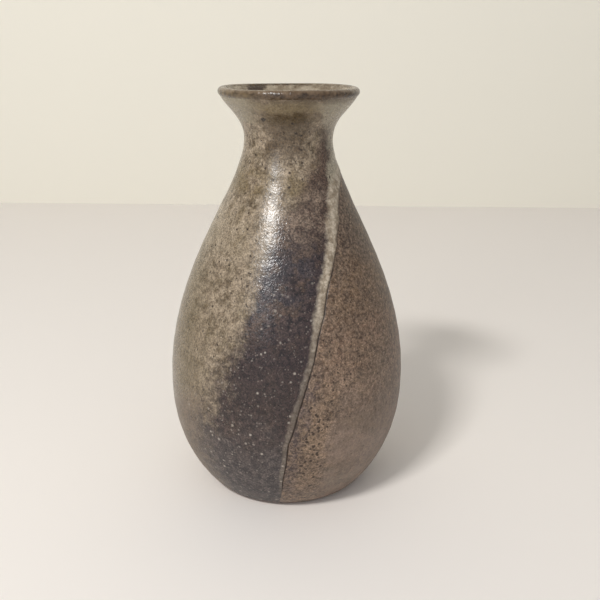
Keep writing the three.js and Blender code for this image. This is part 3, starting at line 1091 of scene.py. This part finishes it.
def iron_ground(r, level, beside, gold):
    """The satin tan under the specks, from grey foot to dark neck, and painted shade on the
    right.
    """
    base = r.mix(r.ease(level, 40, 66), (135, 116, 102), (131, 105, 84))
    base = r.mix(r.ease(level, 66, 84), base, (100, 77, 55))
    base = r.mix(r.ease(level, 85, 97), base, (55, 41, 33))
    blush = r.times(r.window(level, 42, 52, 68, 78), r.ease(r.cloud(14, 2, 3.3), 0.36, 0.56))
    base = r.stain(base, blush, 0.4, (140, 108, 92))
    sage = r.ease(r.cloud(14, 2, 8.3), 0.54, 0.7)
    base = r.stain(base, sage, 0.35, (98, 94, 78))
    ochre = r.times(r.window(level, 78, 84, 91, 97), r.ease(r.cloud(7, 3, 6.1), 0.42, 0.6))
    base = r.stain(base, ochre, 0.6, (108, 82, 52))
    base = r.stain(base, gold, 0.6, (138, 112, 84))
    tide = r.ease(r.cloud(24, 2, 18.0, 0.5, (1, 1, 0.5)), 0.42, 0.6)
    base = r.stain(base, tide, 0.38, (92, 73, 57))
    # The right side, turned away from the lamps, is darkened: painted shade.
    shaded_right_side = r.ease(r.x, 20, 42)
    base = r.stain(base, shaded_right_side, 0.25, (92, 78, 66))
    warm_edge = r.times(r.ease(r.x, 33, 43), r.window(r.z, 8, 20, 56, 84))
    base = r.stain(base, warm_edge, 0.7, (84, 54, 34))
    violet = r.times(r.ease(beside, 6.0, 3.6), r.window(r.z, 6, 14, 52, 66))
    return r.stain(base, violet, 0.9, (62, 52, 58))


# %% Iron glaze: the specks over it
def iron_field(r):
    """Colour, roughness and height of the iron glaze at any point of the outside."""
    beside = r.add(r.layer("across_dip"), r.add(r.swing(5, 0.9), r.swing(1.6, 0.6, 2, 3.0)))
    level = r.add(r.z, r.swing(12, 5))
    gold = r.times(r.window(beside, 3.5, 5.5, 11, 15), r.window(r.z, 8, 16, 48, 60))
    base = iron_ground(r, level, beside, gold)
    smooth_grey = r.times(r.ease(beside, 11, 19), r.ease(level, 58, 30))
    speckled = r.between(smooth_grey, 1.0, 0.4)
    patch = r.ease(r.cloud(3.6, 3, 9.0), 0.38, 0.62)
    base = r.stain(base, r.times(patch, speckled), 0.75, (70, 55, 43))
    fleck = r.times(r.ease(r.cloud(2.4, 4, 19.0, 0.6), 0.48, 0.68), speckled)
    base = r.stain(base, fleck, 0.55, (154, 128, 102))
    mottle = r.ease(r.cloud(1.1, 3, 1.4, 0.6), 0.34, 0.66)
    freckle = r.mix(mottle, (56, 41, 29), (158, 135, 115))
    colour = r.mix(r.times(speckled, 0.42), base, freckle)
    quiet = r.times(smooth_grey, 0.6)
    grain_low, grain_high = r.between(quiet, 0.58, 1.0), r.between(quiet, 1.36, 1.0)
    colour = r.grain(colour, r.cloud(0.6, 2, 7.7, 0.7), grain_low, grain_high)
    rust = r.times(r.dots(1.5, 0.3, 0.6, 2.0), speckled)
    colour = r.stain(colour, rust, 0.6, (76, 52, 36))
    iron = r.dots(1.5, r.between(gold, 0.28, 0.52), 0.75, 5.0)
    iron = r.times(iron, r.between(smooth_grey, 0.9, 0.5))
    colour = r.mix(iron, colour, (46, 31, 21))
    pale = r.times(r.dots(1.8, 0.26, 0.5, 8.0), speckled)
    colour = r.stain(colour, pale, 0.6, (168, 146, 122))
    broken = r.between(r.ease(r.cloud(5, 2, 2.5), 0.35, 0.6), 0.4, 0.9)
    crack = r.times(r.ease(r.layer("across_dip"), 0.5, 0.2), r.window(r.z, 5, 17, 90, 98))
    colour = r.stain(colour, crack, broken, CRACK_BROWN)

    roughness = r.between(r.cloud(1.6, 2, 4.1), 0.36, 0.52)
    height = r.times(r.cloud(0.75, 2, 2.9, 0.6), 0.06)
    height = r.add(height, r.times(r.cloud(3.0, 2, 5.1), 0.08))
    height = r.add(height, r.times(iron, -0.05))
    return colour, roughness, height


iron_recipe = Recipe("iron_glaze", 1.5)
iron_coat.data.materials.append(iron_recipe.finish(*iron_field(iron_recipe)))

# %% [markdown]
# ## The bead's finish
#
# The bead is milky where two glazes lie thick on each other, and thinner and darker towards
# the foot. One pale colour would look like a painted stripe. So the finish starts from the
# ash glaze at the same place, and a milky cover lies over it, thickest at the crest. No seam
# shows where the coat ends and the bead begins.

# %% Overlap bead
BEAD_PALENESS = [
    (6, 0.0), (14, 0.2), (20, 0.29), (30, 0.28), (50, 0.26), (62, 0.42), (76, 0.76), (88, 1),
    (119, 1),
]
bead_recipe = Recipe("overlap_glaze", 1.5)
r = bead_recipe
under, under_roughness, under_height = ash_field(r)
crest = r.layer("crest")
ragged = r.add(crest, r.add(r.swing(2.6, 0.16, 3), r.swing(0.8, 0.07, 2, 4.0)))
milk_cloud = r.ease(r.cloud(2.0, 4, 1.9, 0.6), 0.36, 0.64)
milk = r.mix(milk_cloud, (128, 114, 95), (180, 167, 148))
# The steep flank towards the crack, turned away from the lamps, is darker: painted shade.
milk = r.mix(r.ease(ragged, -0.3, 0.0), milk, (118, 102, 85))
cover = r.ease(ragged, -1.12, -0.62)
cover = r.times(cover, r.by_height(BEAD_PALENESS))
milk = r.grain(milk, r.cloud(0.7, 2, 7.0, 0.7), 0.82, 1.18)
bead_colour = r.mix(cover, under, milk)
wall = r.times(r.ease(crest, -0.07, 0.0), r.window(r.z, 5, 17, 90, 98))
bead_colour = r.stain(bead_colour, wall, 0.8, CRACK_BROWN)
bead_roughness = r.between(cover, under_roughness, 0.42)
bead_height = r.between(cover, under_height, r.times(r.cloud(1.1, 2, 3.0), 0.06))
bead.data.materials.append(r.finish(bead_colour, bead_roughness, bead_height))

# %% [markdown]
# ## The lip's finish
#
# Melting glaze draws back from an edge, and the iron that is left there burns dark brown. The
# Pointiness of the mesh could find the edge, but it knows nothing of inside and outside. The
# roll layer does, so the brown starts and ends where the glaze broke, and it wanders.

# %% Lip band
def rim_patch(r):
    """Where the iron band runs down inside the far rim, left of the middle."""
    across = r.window(r.add(r.x, r.swing(3, 1)), -16, -14.5, -9.5, -8)
    return r.times(across, r.ease(r.y, 8, 14))


lip_recipe = Recipe("rim_iron", 1.52)
lip_recipe.shader.inputs["Specular IOR Level"].default_value = 0.5
r = lip_recipe
under, under_roughness, under_height = ash_field(r)
across_roll = r.layer("roll")
wandering_roll = r.add(across_roll, r.add(r.swing(3.0, 0.18, 3), r.swing(1.0, 0.1, 2, 6.0)))
far_patch = rim_patch(r)
inner_end = r.between(far_patch, r.between(r.ease(r.y, 0, 14), 0.5, 0.85), 2.6)
past_end = r.math("SUBTRACT", wandering_roll, inner_end)
breaking = r.times(r.ease(wandering_roll, -1.2, 0.1), r.ease(past_end, 0.3, -0.05))
at_back = r.ease(r.y, 4, 12)
unworn = r.window(r.add(r.x, r.swing(4, 2)), -17, -14, 2, 12)
worn_back = r.times(at_back, r.math("SUBTRACT", 1.0, unworn))
breaking = r.times(breaking, r.math("MULTIPLY_ADD", worn_back, -0.65, 1.0))
iron_brown = r.mix(r.ease(r.cloud(1.8, 3, 2.0), 0.35, 0.65), (44, 29, 17), (90, 70, 50))
olive_brown = r.mix(r.ease(r.cloud(2.0, 3, 3.0), 0.35, 0.65), (62, 48, 31), (104, 86, 60))
to_left = r.ease(r.add(r.x, r.swing(8, 4)), -4, -16)
burnt = r.mix(to_left, iron_brown, olive_brown)
front_top = r.times(r.ease(wandering_roll, 0.15, 0.5), r.ease(r.y, 2, -6))
burnt = r.stain(burnt, front_top, 0.6, (128, 108, 86))
inner_cloud = r.ease(r.cloud(2.2, 3, 1.0), 0.35, 0.65)
inner_glaze = r.mix(inner_cloud, (112, 97, 76), (158, 144, 122))
under = r.mix(r.ease(across_roll, 0.3, 0.7), under, inner_glaze)
lip_colour = r.mix(r.times(breaking, 0.92), under, burnt)
lip_roughness = r.between(breaking, under_roughness, 0.2)
lip_height = r.add(r.times(r.cloud(1.1, 2, 2.2, 0.6), 0.22), r.times(r.cloud(2.6, 2, 5.5), 0.3))
lip_band.data.materials.append(r.finish(lip_colour, lip_roughness, lip_height))

# %% [markdown]
# ## The liner's finish
#
# Inside the same glaze is cream, with pinholes, and greener where it pooled on the floor. It
# could share the ash glaze's recipe, but none of the dark bands run inside. A recipe of its
# own is shorter, and only the patch that runs down from the far rim is shared with the lip.

# %% Liner
liner_recipe = Recipe("liner_glaze", 1.5)
r = liner_recipe
cream = r.mix(r.ease(r.cloud(3.5, 3, 1.0), 0.35, 0.65), (128, 113, 92), (168, 154, 132))
cream = r.stain(cream, r.dots(2.2, 0.36, 0.5, 4.0), 0.6, (86, 66, 46))
top_patch = rim_patch(r)
top_patch = r.times(top_patch, r.ease(r.add(r.z, r.swing(2, 0.7)), 144.8, 146.6))
cream = r.stain(cream, top_patch, 0.9, (58, 43, 32))
cream = r.grain(cream, r.cloud(0.7, 2, 7.0, 0.7), 0.82, 1.16)
pool = r.ease(r.z, 26, 9)
cream = r.stain(cream, pool, 0.6, (118, 116, 96))
liner_roughness = r.between(r.cloud(1.5, 2, 4.0), 0.2, 0.34)
liner_height = r.times(r.cloud(0.9, 2, 2.0), 0.03)
liner.data.materials.append(r.finish(cream, liner_roughness, liner_height))

# %% [markdown]
# ## Bare clay
#
# The clay under the foot is rough and brown, flashed warmer at its edge by the kiln and paler
# where the ring has rubbed on tables, and the hollow inside the ring is darker: painted shade.
# A noise on its own would spread these evenly. They lie where fire, wear and shade reach, so
# each follows the height or the distance from the axis.

# %% Bare clay
clay_recipe = Recipe("fired_clay", 1.45)
r = clay_recipe
bare = r.mix(r.ease(r.cloud(5, 4, 1.0), 0.3, 0.7), (104, 84, 68), (132, 110, 90))
from_axis = r.vector("LENGTH", r.vector("MULTIPLY", r.place, (1, 1, 0)))
flash = r.ease(from_axis, 18, 29)
bare = r.stain(bare, flash, 0.6, (118, 78, 54))
# The hollow inside the foot ring is darkened: painted shade.
painted_recess_shade = r.times(r.ease(r.z, 0.9, 1.5), r.ease(from_axis, 22.5, 21))
bare = r.stain(bare, painted_recess_shade, 0.6, (74, 58, 46))
worn = r.times(r.ease(r.z, 0.35, 0.08), r.ease(r.cloud(3, 2, 9.0), 0.3, 0.6))
bare = r.stain(bare, worn, 0.5, (150, 126, 102))
bare = r.stain(bare, r.dots(1.8, 0.3, 0.5, 2.0), 0.8, (48, 36, 30))
grit = r.dots(2.6, 0.26, 0.4, 7.0)
bare = r.stain(bare, grit, 0.7, (186, 172, 150))
clay_roughness = r.between(r.cloud(1.2, 2, 5.0), 0.72, 0.92)
clay_height = r.add(r.times(r.cloud(0.5, 2, 2.0, 0.7), 0.06), r.times(grit, 0.05))
clay.data.materials.append(r.finish(bare, clay_roughness, clay_height))
